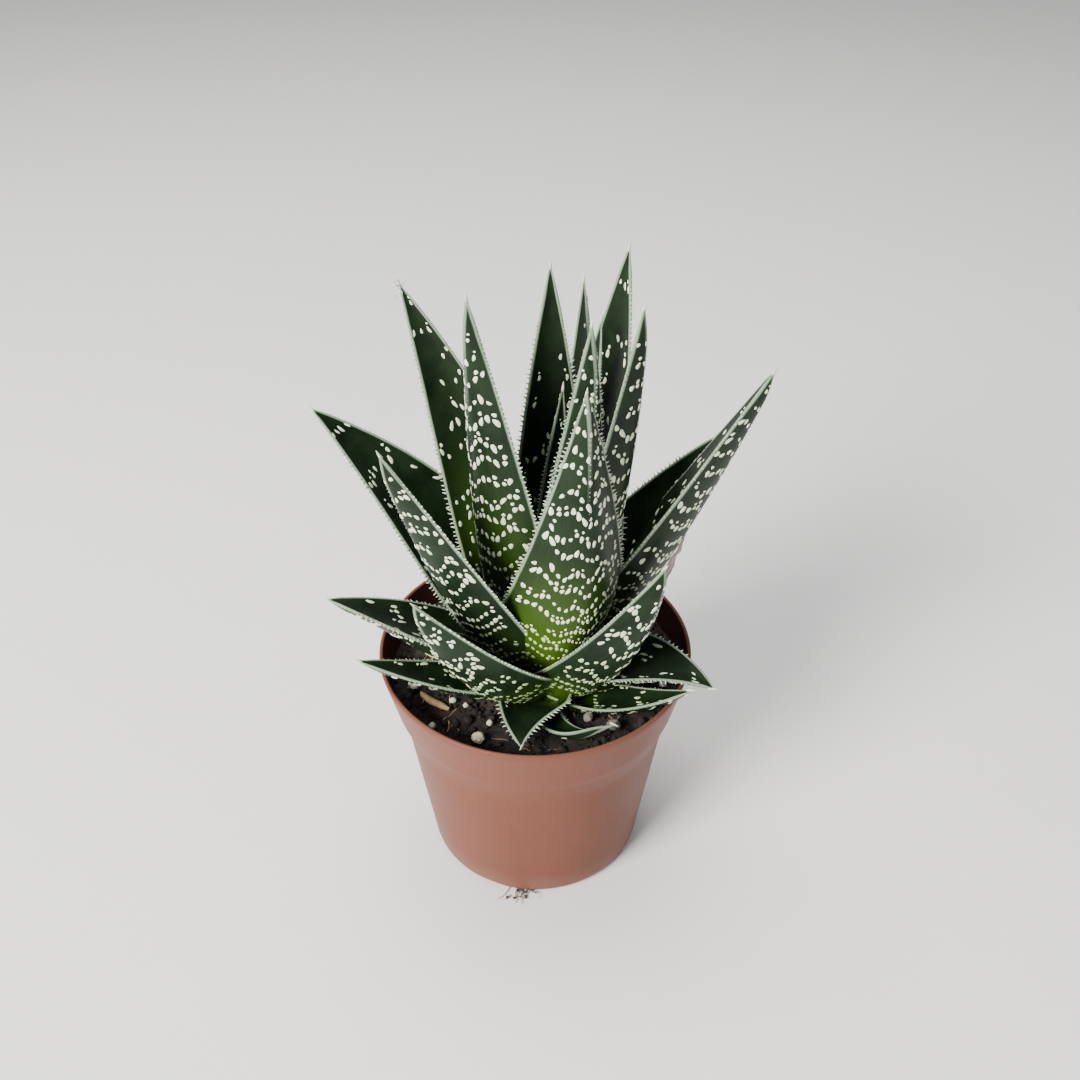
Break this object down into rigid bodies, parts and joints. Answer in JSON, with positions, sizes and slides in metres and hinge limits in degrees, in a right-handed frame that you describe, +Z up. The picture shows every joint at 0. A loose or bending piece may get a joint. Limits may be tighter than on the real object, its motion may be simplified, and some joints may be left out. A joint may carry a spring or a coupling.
{
  "type": "potted aloe plant",
  "caption": "Small speckled aloe rosette with upright keeled leaves, growing in peat in a tapered plastic nursery pot with a flared collar.",
  "frame": {"origin": "middle of the flat pad under the pot, on the plane it stands on", "axes": "+Z up along the pot's axis, -Y towards the front of the plant, +X to its right"},
  "size_m": [0.1168, 0.09, 0.188],
  "materials": {
    "pot": "satin",
    "soil": "matte",
    "stem": "satin",
    "leaf": "satin",
    "withered_leaf": "matte",
    "perlite": "matte",
    "bark": "matte"
  },
  "bodies": {
    "root": {"pot": "pot", "soil": "soil", "stem": "stem", "leaf_back_mid": "leaf", "leaf_back_mid_right": "leaf", "leaf_back_small": "leaf", "leaf_front_centre": "leaf", "leaf_front_left": "leaf", "leaf_front_left_low": "leaf", "leaf_front_right_low": "leaf", "leaf_heart_front": "leaf", "leaf_heart_rear": "leaf", "leaf_heart_right": "leaf", "leaf_left": "leaf", "leaf_low_back": "leaf", "leaf_low_back_left": "leaf", "leaf_low_back_right": "leaf", "leaf_low_left": "leaf", "leaf_low_right": "leaf", "leaf_lowest_front": "leaf", "leaf_lowest_left": "leaf", "leaf_lowest_right": "leaf", "leaf_right": "leaf", "leaf_right_rear": "leaf", "leaf_right_withered": "withered_leaf", "leaf_stub_front_right": "leaf", "leaf_tall_back_left": "leaf", "leaf_tall_back_right": "leaf", "leaf_upright_back": "leaf", "leaf_upright_left": "leaf", "leaf_upright_right": "leaf", "bark_chip": "bark", "grit_back": "perlite", "grit_front": "perlite", "grit_left_inner": "perlite", "grit_left_middle": "perlite", "lump_front_right": "perlite", "lump_right": "perlite", "perlite_back": "perlite", "perlite_front_large": "perlite", "perlite_front_left": "perlite", "perlite_left": "perlite", "perlite_right": "perlite"}
  },
  "joints": []
}
